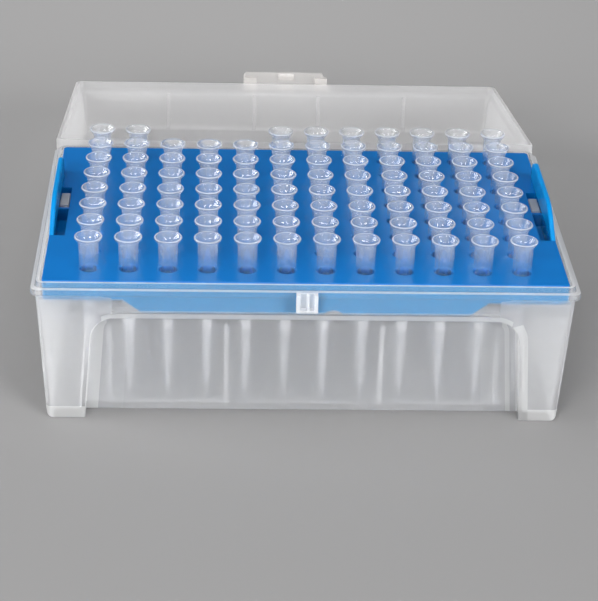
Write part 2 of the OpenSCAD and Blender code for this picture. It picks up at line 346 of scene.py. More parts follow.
MAT_BOX = polypropylene("pp_box", (0.98, 0.984, 0.998), 0.16, 0.895, (0.98, 0.986, 1.0), back=0.26, rough=(0.17, 0.24))
MAT_LIP = polypropylene("pp_box_lip", (0.985, 0.987, 0.995), 0.50, 0.93, (0.985, 0.988, 0.998), back=0.14, rough=(0.13, 0.19))
MAT_EDGE = polypropylene("pp_box_edges", (0.985, 0.99, 1.0), 0.20, 0.72, (0.985, 0.99, 1.0), back=0.30, rough=(0.19, 0.26))
MAT_THICK = polypropylene("pp_box_thick", (0.985, 0.987, 0.99), 0.16, 0.77, (0.985, 0.988, 0.99), back=0.34, rough=(0.19, 0.26))
MAT_FLOOR = polypropylene("pp_box_floor", (0.98, 0.985, 0.998), 0.24, 0.83, (0.98, 0.986, 1.0), back=0.25, rough=(0.19, 0.26))
MAT_NEAR = polypropylene("pp_box_near_walls", (0.98, 0.985, 0.995), 0.16, 0.875, (0.98, 0.986, 0.997), back=0.27, rough=(0.17, 0.24))
MAT_FOOT = polypropylene("pp_box_feet", (0.985, 0.987, 0.99), 0.128, 0.655, (0.985, 0.988, 0.99), back=0.30, rough=(0.19, 0.26))
MAT_LID = polypropylene("pp_lid", (0.98, 0.978, 0.985), 0.27, 0.89, (0.975, 0.972, 0.985), back=0.24, rough=(0.285, 0.36))
MAT_RIB = polypropylene("pp_lid_ribs", (0.98, 0.978, 0.985), 0.62, 0.93, (0.975, 0.972, 0.985), back=0.20, rough=(0.19, 0.26))
MAT_TAB = polypropylene("pp_lid_tab", (0.98, 0.962, 0.945), 0.28, 0.84, (0.99, 0.972, 0.955), back=0.34, rough=(0.19, 0.26))
MAT_TIP = polypropylene("pp_tip", (0.96, 0.98, 1.0), 0.50, 0.93, (0.96, 0.975, 1.0), back=0.08, rough=(0.08, 0.13), bump_strength=0.03)
# the mid, low and seat strips are tinted a little bluer downwards: a painted blue cast from the deck beneath them
MAT_TIP_MID = polypropylene("pp_tip_mid", (0.94, 0.98, 1.0), 0.62, 0.95, (0.955, 0.975, 1.0), back=0.05, rough=(0.08, 0.13), bump_strength=0.03)
MAT_TIP_LOW = polypropylene("pp_tip_low", (0.92, 0.98, 1.0), 0.80, 0.97, (0.955, 0.975, 1.0), back=0.04, rough=(0.1, 0.15), bump_strength=0.03)
MAT_TIP_SEAT = polypropylene("pp_tip_seat", (0.92, 0.98, 1.0), 0.94, 0.97, (0.955, 0.975, 1.0), back=0.04, rough=(0.1, 0.15), bump_strength=0.03)
# the tip's strip in and under the plate's hole is tinted the plate's blue: painted blue shade of the hole, the tip
# itself is not blue
MAT_TIP_PLATE_SHADE = polypropylene("pp_tip_painted_shade_in_plate", (0.16, 0.58, 0.90), 0.26, 0.96, (0.25, 0.55, 0.9), back=0.05, rough=(0.1, 0.15), bump_strength=0.03)
MAT_RIM = polypropylene("pp_tip_rim", (0.98, 0.988, 1.0), 0.26, 0.72, (0.975, 0.985, 1.0), back=0.24, rough=(0.15, 0.22), bump_strength=0.03)
MAT_NECK = polypropylene("pp_tip_neck", (0.985, 0.99, 1.0), 0.08, 0.36, (0.98, 0.985, 1.0), back=0.25, rough=(0.19, 0.26), bump_strength=0.03)
MAT_SHANK = polypropylene("pp_tip_shank", (0.985, 0.99, 1.0), 0.28, 0.84, (0.97, 0.98, 1.0), back=0.30, rough=(0.12, 0.2), bump_strength=0.03)


def blue_plastic(name, low, high, level=0.30, rough=(0.08, 0.14)):
    m, nt, nodes, links = node_tree(name)
    out = nodes.new("ShaderNodeOutputMaterial")
    p = nodes.new("ShaderNodeBsdfPrincipled")
    cloud = noise(nt, 26.0, 3.0, 0.5)
    flow = noise(nt, 70.0, 4.0, 0.6, stretch=(1.0, 2.4, 1.0))
    fine = noise(nt, 1400.0, 2.0, 0.5)
    links.new(ramp(nt, cloud, [(0.25, low), (0.75, high)]), p.inputs["Base Color"])
    links.new(map_range(nt, flow, *rough), p.inputs["Roughness"])
    p.inputs["IOR"].default_value = 1.49
    p.inputs["Specular IOR Level"].default_value = level
    p.inputs["Subsurface Weight"].default_value = 0.12
    p.inputs["Subsurface Radius"].default_value = (0.2, 0.6, 1.0)
    p.inputs["Subsurface Scale"].default_value = 0.0012
    links.new(bump(nt, fine, 0.06, 0.0001), p.inputs["Normal"])
    links.new(p.outputs["BSDF"], out.inputs["Surface"])
    return m


MAT_BLUE = blue_plastic("pp_blue", (0.0010, 0.104, 0.335), (0.0012, 0.116, 0.365))
# lighter, greener copy of the plate's blue for its upright walls: painted light where the front light falls on them
MAT_BLUE_WALLS_LIT = blue_plastic("pp_blue_walls_painted_light", (0.0010, 0.138, 0.310), (0.0012, 0.150, 0.335))
# lighter copy of the plate's blue for the grips: painted light on the grips, which stand in the side light
MAT_LIT_BLUE_GRIP = blue_plastic("pp_blue_painted_light_grip", (0.0010, 0.165, 0.42), (0.0012, 0.180, 0.45), 0.12, (0.25, 0.35))

# ---------------------------------------------------------------- base
OUT_PROFILE = rounded_path([(-2.0, 0), (0, 0), (-0.35, 4.5), (4, 4.5)], [0.25, 0.5], 4)
IN_PROFILE = rounded_path([(-3.1, 0), (-1.1, 0), (-1.45, 4.5), (3, 4.5)], [0.5, 0.3], 4)
PANEL_X = [49.0, 47.9, 46.4, 42, 36, 30, 24, 18, 12, 6]
OUTSIDE_X = [56.0, 54.2, 52.8]


def recess_columns(profile):
    """Signed X of the front run's stations and the share of the recess's depth at each."""
    lat, frac = profile[:, 0], profile[:, 1] / 4.5
    pos = [(x, 0.0) for x in OUTSIDE_X]
    pos += [(REC_W - a, f) for a, f in zip(lat, frac)]
    pos += [(x, 1.0) for x in PANEL_X]
    full = [(-x, f) for x, f in pos] + [(0.0, 1.0)] + [(x, f) for x, f in pos[::-1]]
    return full


def taper_shift(x, z):
    """The recess's sides lean in towards its top, so the stations near them move in with height."""
    a = np.abs(x)
    k = interp(a, [30, 46.4, 52.8, 56.0], [0, 1, 1, 0.25])
    return x - np.sign(x) * k * REC_TAPER * np.clip(z, 0, 30)


def ring_shape(z, outer):
    """Half sizes and corner radius of the plain drafted wall at a height."""
    if outer:
        t = np.clip(z / 32.95, 0, 1)
        return OUT_X - LEAN * (1 - t), OUT_Y - LEAN * (1 - t), 1.1 + 0.1 * t
    zz = [1.9, 27.7, 28.25, 36]
    return (interp(z, zz, [58.5, 59.55, 60.0, 60.0]), interp(z, zz, [36.8, 37.95, 38.4, 38.4]),
            interp(z, zz, [0.8, 0.8, 0.8, 0.8]))


def wall_rows(b, st, cols, rows, outer):
    """Rings of the drafted wall with the arched recess. rows: (z, recess share, bottom fillet angle or None)."""
    fr = np.zeros(st.n)
    ax = np.zeros(st.n)
    for i, (x, f) in zip(st.front[1:-1], cols):
        fr[i], ax[i] = f, x
    for i, (x, f) in zip(st.back[1:-1], cols[::-1]):
        fr[i], ax[i] = f, x
    panel = REC_Y if outer else REC_Y - WALL
    cx, cz = REC_W - REC_R, REC_TOP - REC_R
    rings = []
    leg_r = 0.45 + 0.85 * st.nx ** 2 if outer else np.full(st.n, 0.9)
    mid_r = 0.5 if outer else 0.7
    z_leg, z_mid = (0.0, 0.65) if outer else (1.9, 1.9)
    straight = np.array([k in "fb" for k in st.kind]) & (st.sx == 0)
    for z, g, th in rows:
        d = np.minimum(fr, g)
        zz = np.full(st.n, float(z))
        x = ax.copy()
        if th is None:
            a, bz = np.abs(x) - cx, zz - cz
            sel = straight & (a > 0) & (bz > 0)
            m = np.maximum(a, bz)
            nrm = np.hypot(a, bz) + 1e-9
            k = np.clip((9.2 - m) / 2.4, 0, 1)
            s = 1 - k * (1 - m / nrm)
            x = np.where(sel, np.sign(x) * (cx + a * s), x)
            zz = np.where(sel, cz + bz * s, zz)
            o = np.zeros(st.n)
        else:
            smooth = np.clip((d - 0.86) / 0.1, 0, 1)
            rb = leg_r + (mid_r - leg_r) * smooth
            zb = z_leg + (z_mid - z_leg) * smooth
            o = rb * (1 - math.sin(th))
            zz = zb + rb * (1 - math.cos(th))
        x = taper_shift(x, zz)
        hx, hy, r = ring_shape(zz, outer)
        hx, hy = hx - o, hy - o
        px, py = st.xy(hx, hy, r, ax=x)
        # push the front and back runs in to the recess panel
        target = np.sign(st.sy) * (panel - o)
        py = np.where(straight, py * (1 - d) + target * d, py)
        rings.append(b.add(np.column_stack([px, py, zz])))
    return rings


def build_base():
    b = Build()
    co, ci = recess_columns(OUT_PROFILE), recess_columns(IN_PROFILE)
    side_y = [-30, -24, -18, -12, -6, 0, 6, 12, 18, 24, 30]
    st = Stations([x for x, _ in co], side_y, arc=8)
    # outer rows, bottom to top
    rows = [(0, 1.0, math.radians(a)) for a in (0, 18, 36, 54, 72, 90)]
    rows += [(z, 1.0, None) for z in (3.2, 6, 9, 12, 15, 18, 20, 21.9, 23.0, 24.0)]
    for lat, f in OUT_PROFILE[::-1]:
        rows.append((REC_TOP - lat, f / 4.5, None))
    rows += [(z, 0.0, None) for z in (28.2, 29.2, 30.4, 31.5, 32.3)]
    rings = wall_rows(b, st, co, rows, True)
    outer_bottom = rings[0]
    rim = [
        (61.22, 39.52, 1.22, 32.6), (61.28, 39.56, 1.26, 32.85), (61.48, 39.7, 1.35, 32.95),
        (61.95, 40.05, 1.55, 32.95), (62.2, 40.3, 1.72, 33.05), (62.3, 40.4, 1.8, 33.3),
        (62.3, 40.4, 1.8, 34.25), (62.2, 40.3, 1.72, 34.5), (61.95, 40.05, 1.6, 34.6),
        (61.35, 39.42, 1.62, 34.6), (61.14, 39.24, 1.6, 34.67), (61.1, 39.2, 1.6, 34.85),
        (61.1, 39.2, 1.6, 35.6), (61.02, 39.12, 1.54, 35.81), (60.8, 38.95, 1.4, 35.9),
        (60.3, 38.65, 1.05, 35.9), (60.08, 38.46, 0.85, 35.81), (60.0, 38.4, 0.8, 35.6),
        (60.0, 38.4, 0.8, 33.5), (60.0, 38.4, 0.8, 31.0),
    ]
    for hx, hy, r, z in rim:
        px, py = st.xy(hx, hy, r)
        rings.append(b.add(np.column_stack([px, py, np.full(st.n, z)])))
    # inner rows, top to bottom: the recess there is one wall larger
    irows = [(z, 0.0, None) for z in (29.8, 29.0)]
    for lat, f in IN_PROFILE:
        irows.append((REC_TOP - lat, f / 4.5, None))
    irows += [(z, 1.0, None) for z in (25.4, 24.2, 23.2, 21.9, 20, 18, 15, 12, 9, 6, 4)]
    irows += [(0, 1.0, math.radians(a)) for a in (90, 60, 30, 0)]
    rings += wall_rows(b, st, ci, irows, False)
    n_out, n_rim = len(rows), len(rim)
    edge_rows = {n_out + k for k in (7, 8, 13, 14)}
    lip_rows = {n_out + k for k in range(2, n_rim - 1)} - edge_rows
    half = len(OUTSIDE_X) + len(OUT_PROFILE) + 1
    side_walls, near_walls = set(), set()
    for run in (st.front, st.back):
        a = run[len(OUTSIDE_X) + 1:half]
        c = run[-half:-len(OUTSIDE_X) - 1]
        side_walls |= set(a) | set(c) | {run[half], run[-2 - half]}
        near_walls |= set(run[half + 1:half + 3]) | set(run[-4 - half:-2 - half])

    shelf = range(n_out - 5 - len(OUT_PROFILE), n_out - 5)
    a = half + PANEL_X.index(46.4)
    apron = set(st.front[a:-a - 1]) | set(st.back[a:-a - 1])
    inner_shelf = range(n_out + n_rim + 2, n_out + n_rim + 1 + len(IN_PROFILE))
    panel = set(st.front[half:-half]) | set(st.back[half:-half])

    def mats(k, i):
        if k in edge_rows:
            return 1
        if k in lip_rows:
            return 3
        if i in side_walls and (k < 20 or k > n_out + n_rim + 8):
            return 2
        if i in near_walls and (k < 20 or k > n_out + n_rim + 8):
            return 6
        if k < 6 and i not in panel:
            return 5
        if k < 6 or k >= len(rings) - 4:
            return 4
        if i in panel and (k in shelf or k in inner_shelf):
            return 2
        if i in apron and n_out - 6 < k < n_out + n_rim + 2:
            return 3
        if k > n_out + n_rim + 8 and i not in panel:
            return 2
        return 0

    b.loft(rings, mats)
    b.mat = 4
    st.cap(b, outer_bottom)
    st.cap(b, rings[-1])
    return b


def ear_profile():
    """C-shaped snap ring in the YZ plane about the hinge axis, open at the top back."""
    pts = []
    half = math.degrees(math.asin(0.72 / 2.05))
    a0, a1 = 135 - 90 + half, 135 - 90 - half + 360
    for k in range(33):
        a = math.radians(a0 + (a1 - a0) * k / 32)
        pts.append((HINGE_Y + 2.05 * math.cos(a), HINGE_Z + 2.05 * math.sin(a)))
    half = math.degrees(math.asin(0.72 / 1.06))
    a0, a1 = 45 + half, 45 - half + 360
    for k in range(25):
        a = math.radians(a1 + (a0 - a1) * k / 24)
        pts.append((HINGE_Y + 1.06 * math.cos(a), HINGE_Z + 1.06 * math.sin(a)))
    return pts


def base_details():
    b = Build()
    for side in (-1, 1):
        for e in (-1, 1):
            x0 = side * HINGE_X + e * 4.45 - 1.15
            b.prism(ear_profile(), "x", x0, x0 + 2.3, edge=0.14)
            b.block((x0, 40.1, BASE_H - RIM_T), (x0 + 2.3, HINGE_Y + 1.1, BASE_H - 0.9), 0.25)
    # catch block: back plate, two side walls, bottom and centre rib
    y0 = -40.4
    w = 2.45
    z0 = BASE_H - 4.5
    b.block((-w, y0 - 0.25, z0), (w, y0 + 0.25, BASE_H - 0.02), 0.12)
    for x0, x1 in ((-w, -w + 0.9), (w - 0.9, w), (-0.1, 0.5)):
        b.block((x0, y0 - 1.7, z0 + 0.1), (x1, y0 + 0.1, BASE_H - 0.05), 0.16)
    b.block((-w + 0.05, y0 - 1.68, z0), (w - 0.05, y0 + 0.1, z0 + 0.75), 0.18)
    # posts in the plate's side slots
    for s in (-1, 1):
        lo, hi = s * 57.35 - 1.05, s * 57.35 + 1.05
        b.block((lo, 2.6, 22), (hi, 9.6, DECK_Z - 0.02), 0.3)
        for y in (3.0, 7.8):
            x0, x1 = sorted((s * 57.6, s * 59.5))
            b.block((x0, y, 22), (x1, y + 1.2, 30.6), 0.2)
    # gussets on the recess panels' inner faces
    for m in (-1, 1):
        for x in (-45, -18, 18, 45):
            b.mat = 2 if abs(x) > 40 else 1
            poly = [(m * (REC_Y - WALL + 0.02), 2.0), (m * (REC_Y - 3.6), 2.0),
                    (m * (REC_Y - 1.95), 21.8), (m * (REC_Y - WALL + 0.02), 22.8)]
            b.prism(poly, "x", x - 0.5, x + 0.5, edge=0.2)
    return b


base_shell = build_base().make("base_shell", [MAT_BOX, MAT_EDGE, MAT_THICK, MAT_LIP, MAT_FLOOR, MAT_FOOT, MAT_NEAR], "box", angle=40)
base_parts = base_details().make("base_fittings", [MAT_EDGE, MAT_THICK, MAT_BOX], "box", angle=35)
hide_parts("base")


# ---------------------------------------------------------------- lid
def lid_matrix():
    p = Vector((0, HINGE_Y, HINGE_Z))
    return Matrix.Translation(p) @ Matrix.Rotation(math.radians(-LID_OPEN), 4, "X") @ Matrix.Translation(-p)


LID_M = lid_matrix()
LID_Z, LID_TOP, BAND_H = BASE_H + 0.1, BASE_H + 0.1 + 14.7, 3.2


def build_lid():
    b = Build()
    st = Stations([-50, -42, -35, -28, -21, -14, -7, 0, 7, 14, 21, 28, 35, 42, 50],
                  [-30, -22.5, -15, -7.5, 0, 7.5, 15, 22.5, 30], arc=9)
    rows = [
        (61.3, 39.4, 1.26, 35), (61.42, 39.5, 1.4, 34.77), (61.7, 39.72, 1.53, 34.7),
        (62.05, 39.98, 1.67, 34.7), (62.31, 40.22, 1.76, 34.8), (62.4, 40.3, 1.8, 35.08),
        (62.4, 40.3, 1.8, 37.3), (62.32, 40.22, 1.76, 37.6), (62.12, 40.02, 1.71, 37.82),
        (61.86, 39.74, 1.66, 38.0), (61.66, 39.5, 1.63, 38.35), (61.55, 39.38, 1.62, 38.9),
        (61.3, 39.15, 1.57, 41), (61, 38.88, 1.48, 44), (60.68, 38.58, 1.4, 46.9),
        (60.5, 38.4, 1.35, 47.9), (60.2, 38.1, 1.26, 48.7), (59.7, 37.6, 1.12, 49.2), (59, 36.9, 0.95, 49.4),
    ]
    rings = []

    def ring(hx, hy, r, z):
        px, py = st.xy(hx, hy, r)
        return b.add(np.column_stack([px, py, np.full(st.n, z)]))

    for row in rows:
        rings.append(ring(*row))
    outer_cap = rings[-1]
    inner = [
        (61.3, 39.4, 1.26, 36.3), (61.25, 39.32, 1.33, 36.6), (61.13, 39.15, 1.28, 36.95),
        (60.93, 38.9, 1.22, 37.35), (60.72, 38.67, 1.17, 37.8), (60.54, 38.48, 1.12, 38.4),
        (60.2, 38.1, 1.08, 41), (59.9, 37.8, 0.99, 44.5), (59.62, 37.52, 0.95, 46.5),
        (59.45, 37.35, 0.9, 47.1), (59.15, 37.05, 0.8, 47.65), (58.7, 36.6, 0.7, 48.05), (58.1, 36.0, 0.6, 48.27),
    ]
    inner_rings = [rings[0]] + [ring(*row) for row in inner]
    b.loft(rings)
    b.loft(inner_rings[::-1])
    st.cap(b, outer_cap)
    st.cap(b, inner_rings[-1])
    return b


def lid_details():
    b = Build()
    b.mat = 1
    for x in (-35, -9.5, 9.5, 35):
        poly = [(-38.35, LID_Z + BAND_H), (-37.75, LID_Z + BAND_H), (-36.5, LID_TOP - 1.15), (-37.2, LID_TOP - 1.15)]
        b.prism(poly, "x", x - 0.6, x + 0.6, edge=0.2)
    # finger tab
    b.mat = 2
    tab = [(-12.7, LID_Z - 2.0), (-12.0, LID_Z - 2.8), (10.7, LID_Z - 2.8), (12.4, LID_Z + 0.4),
           (12.7, LID_Z + 1.4), (12.7, LID_Z + 2.4), (-12.7, LID_Z + 2.4)]
    b.prism(tab, "y", -44.4, -43.3, edge=0.3)
    for x0, x1 in ((-12.65, -8.5), (8.4, 12.5)):
        b.block((x0, -43.5, LID_Z + 0.6), (x1, -40.2, LID_Z + 2.38), 0.25)
        b.block((x0 + 0.05, -43.5, LID_Z - 1.6), (x1 - 0.4, -40.8, LID_Z + 1.0), 0.25)
    b.block((-2.3, -43.5, LID_Z + 0.6), (2.3, -40.2, LID_Z + 2.38), 0.25)
    hook = [(-43.5, LID_Z - 2.5), (-42.95, LID_Z - 2.0), (-42.25, LID_Z - 2.0), (-42.25, LID_Z - 1.6), (-43.5, LID_Z - 0.5)]
    b.prism(hook, "x", -2.3, 2.3, edge=0.12)
    # hinge arms with their pins
    b.mat = 0
    for side in (-1, 1):
        xc = side * HINGE_X
        for r, x0, x1 in ((1.0, -5.6, 5.6), (1.6, -3.0, 3.0)):
            poly = [(HINGE_Y + r * math.cos(2 * math.pi * k / 28), HINGE_Z + r * math.sin(2 * math.pi * k / 28)) for k in range(28)]
            b.prism(poly, "x", xc + x0, xc + x1, edge=0.15)
        b.block((xc - 3, 40.1, HINGE_Z - 0.3), (xc + 3, HINGE_Y + 0.2, HINGE_Z + 1.55), 0.3)
    return b


lid_shell = build_lid().make("lid_shell", MAT_LID, "lid", angle=40, matrix=LID_M)
lid_parts = lid_details().make("lid_fittings", [MAT_LID, MAT_RIB, MAT_TAB], "lid", angle=35, matrix=LID_M)
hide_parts("lid")


# ---------------------------------------------------------------- rack plate
PX, PY, PR, PT = 59.8, 38.25, 1.0, 1.6
SLOT_Y0, SLOT_Y1 = -14.6, 12.8


def plate_corner(x, y):
    a, c = abs(x) - (PX - PR), abs(y) - (PY - PR)
    if a > 0 and c > 0:
        m, n = max(a, c), math.hypot(a, c)
        return math.copysign(PX - PR + a * m / n, x), math.copysign(PY - PR + c * m / n, y)
    return x, y


def plate_normal(x, y):
    a, c = abs(x) - (PX - PR), abs(y) - (PY - PR)
    if a > 0 and c > 0:
        n = math.hypot(a, c)
        return math.copysign(a / n, x), math.copysign(c / n, y)
    if a > c:
        return math.copysign(1, x), 0.0
    return 0.0, math.copysign(1, y)


def build_deck():
    b = Build()
    n_side = 6
    step = PITCH / n_side
    keys = {}

    def vert(x, y, z, key):
        k = (key, round(x, 4), round(y, 4))
        if k not in keys:
            keys[k] = b.add([(x, y, z)])[0]
        return keys[k]

    def square(cx, cy):
        pts = []
        for i in range(n_side):
            pts.append((cx + 4.5, cy - 4.5 + i * step))
        for i in range(n_side):
            pts.append((cx + 4.5 - i * step, cy + 4.5))
        for i in range(n_side):
            pts.append((cx - 4.5, cy + 4.5 - i * step))
        for i in range(n_side):
            pts.append((cx - 4.5 + i * step, cy - 4.5))
        return pts

    zt, zb = DECK_Z, DECK_Z - PT
    circle_n = 4 * n_side
    for c in range(12):
        for r in range(8):
            cx, cy = (c - 5.5) * PITCH, (r - 3.5) * PITCH
            sq = square(cx, cy)
            ang = [math.atan2(y - cy, x - cx) for x, y in sq]

            def ring(rad, z):
                return b.add([(cx + rad * math.cos(a), cy + rad * math.sin(a), z) for a in ang])

            top = [vert(x, y, zt, "t") for x, y in sq]
            bot = [vert(x, y, zb, "b") for x, y in sq]
            rings = [top, ring(2.75, zt), ring(2.38, zt), ring(2.2, zt - 0.05), ring(2.05, zt - 0.18), ring(2.0, zt - 0.4),
                     ring(2.0, zb), bot]
            b.loft(rings)
    # margins round the field of holes
    tx = [-54 + i * step for i in range(12 * n_side + 1)]
    ty = [-36 + i * step for i in range(8 * n_side + 1)]
    xo = [54.0, 55.2, 56.1, 56.7, 57.4, 58.1, 58.6, 58.8, 59.2, 59.5, 59.8]
    yo = [36.0, 36.6, 37.25, 37.55, 37.8, 38.02, 38.25]
    # extra lines that make the corner arcs round
    X = sorted({-v for v in xo} | set(round(v, 4) for v in tx) | set(xo))
    Y = sorted({-v for v in yo} | set(round(v, 4) for v in ty) | set(yo))

    def adj(x, y):
        # slot ends lie between two grid lines, so the lines outside the field bend to them
        if abs(x) > 54.01 and abs(x) < 59.0:
            if abs(y + 15.0) < 1e-6:
                y = SLOT_Y0
            if abs(y - 13.5) < 1e-6:
                y = SLOT_Y1
        return plate_corner(x, y)

    def in_field(x0, x1, y0, y1):
        return x0 >= -54.001 and x1 <= 54.001 and y0 >= -36.001 and y1 <= 36.001

    def in_slot(x0, x1, y0, y1):
        xa, xb = min(abs(x0), abs(x1)), max(abs(x0), abs(x1))
        return xa >= 56.09 and xb <= 58.61 and y0 >= -15.001 and y1 <= 13.501

    cells = set()
    for i in range(len(X) - 1):
        for j in range(len(Y) - 1):
            x0, x1, y0, y1 = X[i], X[i + 1], Y[j], Y[j + 1]
            if in_field(x0, x1, y0, y1) or in_slot(x0, x1, y0, y1):
                continue
            cells.add((i, j))

    def corner(i, j, z, key):
        x, y = adj(X[i], Y[j])
        return vert(x, y, z, key)

    # the top face stops short of the outer edge by one line, so the edge can be rounded
    for i, j in cells:
        for z, key in ((zt, "t"), (zb, "b")):
            q = [corner(i, j, z, key), corner(i + 1, j, z, key), corner(i + 1, j + 1, z, key), corner(i, j + 1, z, key)]
            b.face(q)
    # slot walls
    for s in (-1, 1):
        xs = [v for v in X if 56.09 <= s * v <= 58.61]
        ys = [v for v in Y if -15.001 <= v <= 13.501]
        loop = [(x, ys[0]) for x in xs] + [(xs[-1], y) for y in ys[1:]] + [(x, ys[-1]) for x in xs[::-1][1:]] + [(xs[0], y) for y in ys[::-1][1:-1]]
        t = [vert(*adj(x, y), zt, "t") for x, y in loop]
        u = [vert(*adj(x, y), zb, "b") for x, y in loop]
        b.loft([t, u])
    # outline: rounded top edge, skirt outside and inside, back to the deck's underside
    loop = [(x, Y[0]) for x in X] + [(X[-1], y) for y in Y[1:]] + [(x, Y[-1]) for x in X[::-1][1:]] + [(X[0], y) for y in Y[::-1][1:-1]]
    base_pts = [adj(x, y) for x, y in loop]
    nrm = [plate_normal(x, y) for x, y in loop]
    top = [vert(x, y, zt, "t") for x, y in base_pts]
    bot = [vert(x, y, zb, "b") for x, y in base_pts]

    def off(d, z):
        return b.add([(x - nx * d, y - ny * d, z) for (x, y), (nx, ny) in zip(base_pts, nrm)])

    # the outer top line is pulled in a little and lowered in three steps
    for k, i in enumerate(top):
        x, y = base_pts[k]
        nx, ny = nrm[k]
        b.v[i] = (x - nx * 0.28, y - ny * 0.28, zt)
    rings = [top, off(0.12, zt - 0.05), off(0.03, zt - 0.14), off(0.0, zt - 0.3), off(0.0, DECK_Z - 4.5),
             off(0.08, DECK_Z - 4.65), off(0.3, DECK_Z - 4.7), off(0.9, DECK_Z - 4.7), off(1.12, DECK_Z - 4.65), off(1.2, DECK_Z - 4.5),
             off(1.2, zb), ]
    # the skirt's faces (k >= 3) take the lighter blue, which is painted light
    b.loft(rings, lambda k, i: 1 if k >= 3 else 0)
    # the underside's edge vertices lie on the outer line; join the skirt's inner top to them
    b.loft([rings[-1], bot])
    return b


def build_apron():
    b = Build()
    xs = sorted(set([round(v, 3) for v in np.linspace(-41.7, 41.7, 118)] + [round(v, 3) for v in np.linspace(3.2, 9.2, 25)] + [-37.4, 37.4]))

    def low(x):
        z = interp(abs(x), [37.4, 41.7], [28.0, 31.2])
        d = 2.95 ** 2 - (x - 6.2) ** 2
        if d > 0:
            z = max(z, 26.0 + math.sqrt(d))
        return z

    for m in (-1, 1):
        yo, yi = m * (PY - 0.02), m * (PY - 1.18)
        prof = []
        for x in xs:
            z = low(x)
            top = 32.6
            prof.append([(x, yo, top), (x, yo, z + 0.3), (x, yo - m * 0.08, z + 0.1), (x, yo - m * 0.3, z), (x, yi + m * 0.3, z),
                         (x, yi + m * 0.08, z + 0.1), (x, yi, z + 0.3), (x, yi, top)])
        rings = [b.add(p) for p in prof]
        b.loft(rings)
        b.face(rings[0])
        b.face(rings[-1][::-1])
    return b


def build_sleeves():
    """Pockets under the side slots: open-topped troughs with a shaft through them for the base's post."""
    b = Build()
    zt, zf, zb = DECK_Z - PT + 0.02, DECK_Z - 3.7, DECK_Z - 4.66
    for s in (-1, 1):
        def bar(xa, xb, y0, y1, z0, z1):
            x0, x1 = sorted((s * xa, s * xb))
            b.block((x0, y0, z0), (x1, y1, z1), 0.12)
        bar(55.12, 56.08, -15.5, 13.7, zb, zt)
        bar(55.3, 58.75, -15.5, -14.62, zb, zt)
        bar(55.3, 58.75, 12.82, 13.7, zb, zt)
        bar(56.0, 58.75, -14.8, 2.38, zb, zf)
        bar(56.0, 58.75, 9.82, 13.0, zb, zf)
        bar(56.0, 58.75, 1.5, 2.38, zb + 0.1, 35.38)
        bar(56.0, 58.75, 9.82, 10.7, zb + 0.1, 35.38)
    return b


def build_grips():
    b = Build()
    key = [(-14.6, -1.2), (-14.6, 0.0), (-12, 1.3), (-8, 3.55), (-4, 4.85), (-1, 5.2), (19.2, 5.2), (21.2, 4.4), (22.35, 2.6), (22.6, -1.2)]
    pts = rounded_path([(-14.6, -2)] + key[1:-1] + [(22.6, -2)], [0.3, 5, 6, 5, 3, 1.2, 1.6, 2.5][:len(key) - 2], 3)
    poly = [(-14.6, DECK_Z - 1.2)] + [(y, DECK_Z + z) for y, z in pts] + [(22.6, DECK_Z - 1.2)]
    for s in (-1, 1):
        x0, x1 = sorted((s * (PX - 1.2 + 0.02), s * (PX - 0.0)))
        b.prism(poly, "x", x0, x1, edge=0.32)
    return b


deck = build_deck().make("rack_deck", [MAT_BLUE, MAT_BLUE_WALLS_LIT], "box", angle=40)
# the aprons take the lighter blue, which is painted light
apron = build_apron().make("rack_aprons", MAT_BLUE_WALLS_LIT, "box", angle=40)
# the grips take the lighter blue, which is painted light
grips = build_grips().make("rack_grips", MAT_LIT_BLUE_GRIP, "box", angle=50)
sleeves = build_sleeves().make("rack_pockets", MAT_BLUE, "box", angle=50)
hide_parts("rack_plate")

# ---------------------------------------------------------------- tips
SEG = 48


def tip_rings():
    """Rings of one tip as (list of radii round it, height) from the rim's top, out and down, then in and up."""
    a = np.linspace(0, 2 * math.pi, SEG, endpoint=False)
    flute = 0.5 + 0.5 * np.cos(12 * a)
    rows = []

    def row(r, z, f=0.0):
        rows.append((r + f * (flute - 0.45), z))

    row(2.97, 0.0)
    row(3.09, -0.04)
    row(3.17, -0.18)
    row(3.15, -0.42)
    row(2.98, -0.72)
    row(2.68, -1.08)
    row(2.43, -1.45)
    row(2.28, -1.9)
    row(2.24, -2.25, 0.05)
    row(2.22, -2.7, 0.15)
    row(2.19, -4.0, 0.15)
    row(2.15, -5.4, 0.15)
    row(2.11, -6.8, 0.14)
    row(2.09, -7.6, 0.05)
    row(2.07, -8.03)
    row(2.0, -8.1)
    row(1.76, -8.1)
    row(1.74, -8.35)
    row(1.66, -12.0)
    row(1.5, -16.4)
    row(1.42, -18.9)
    row(1.37, -20.3)
    row(1.25, -21.3)
    row(1.19, -22.6)
    row(1.07, -27.5)
    row(0.975, -33.0)
    row(0.72, -33.7)
    row(0.66, -34.3)
    row(0.6, -37.0)
    row(0.565, -39.5)
    row(0.5, -39.6)
    row(0.3, -39.58)
    row(0.27, -37.0)
    row(0.33, -34.2)
    row(0.6, -33.1)
    row(0.79, -21.6)
    row(0.98, -20.4)
    row(1.27, -12.0)
    row(1.34, -8.7)
    row(1.58, -5.0)
    row(1.8, -1.75)
    row(2.02, -1.3)
    row(2.38, -0.8)
    row(2.69, -0.32)
    row(2.83, -0.06)
    row(2.9, 0.0)
    return a, rows


TIP_A, TIP_ROWS = tip_rings()


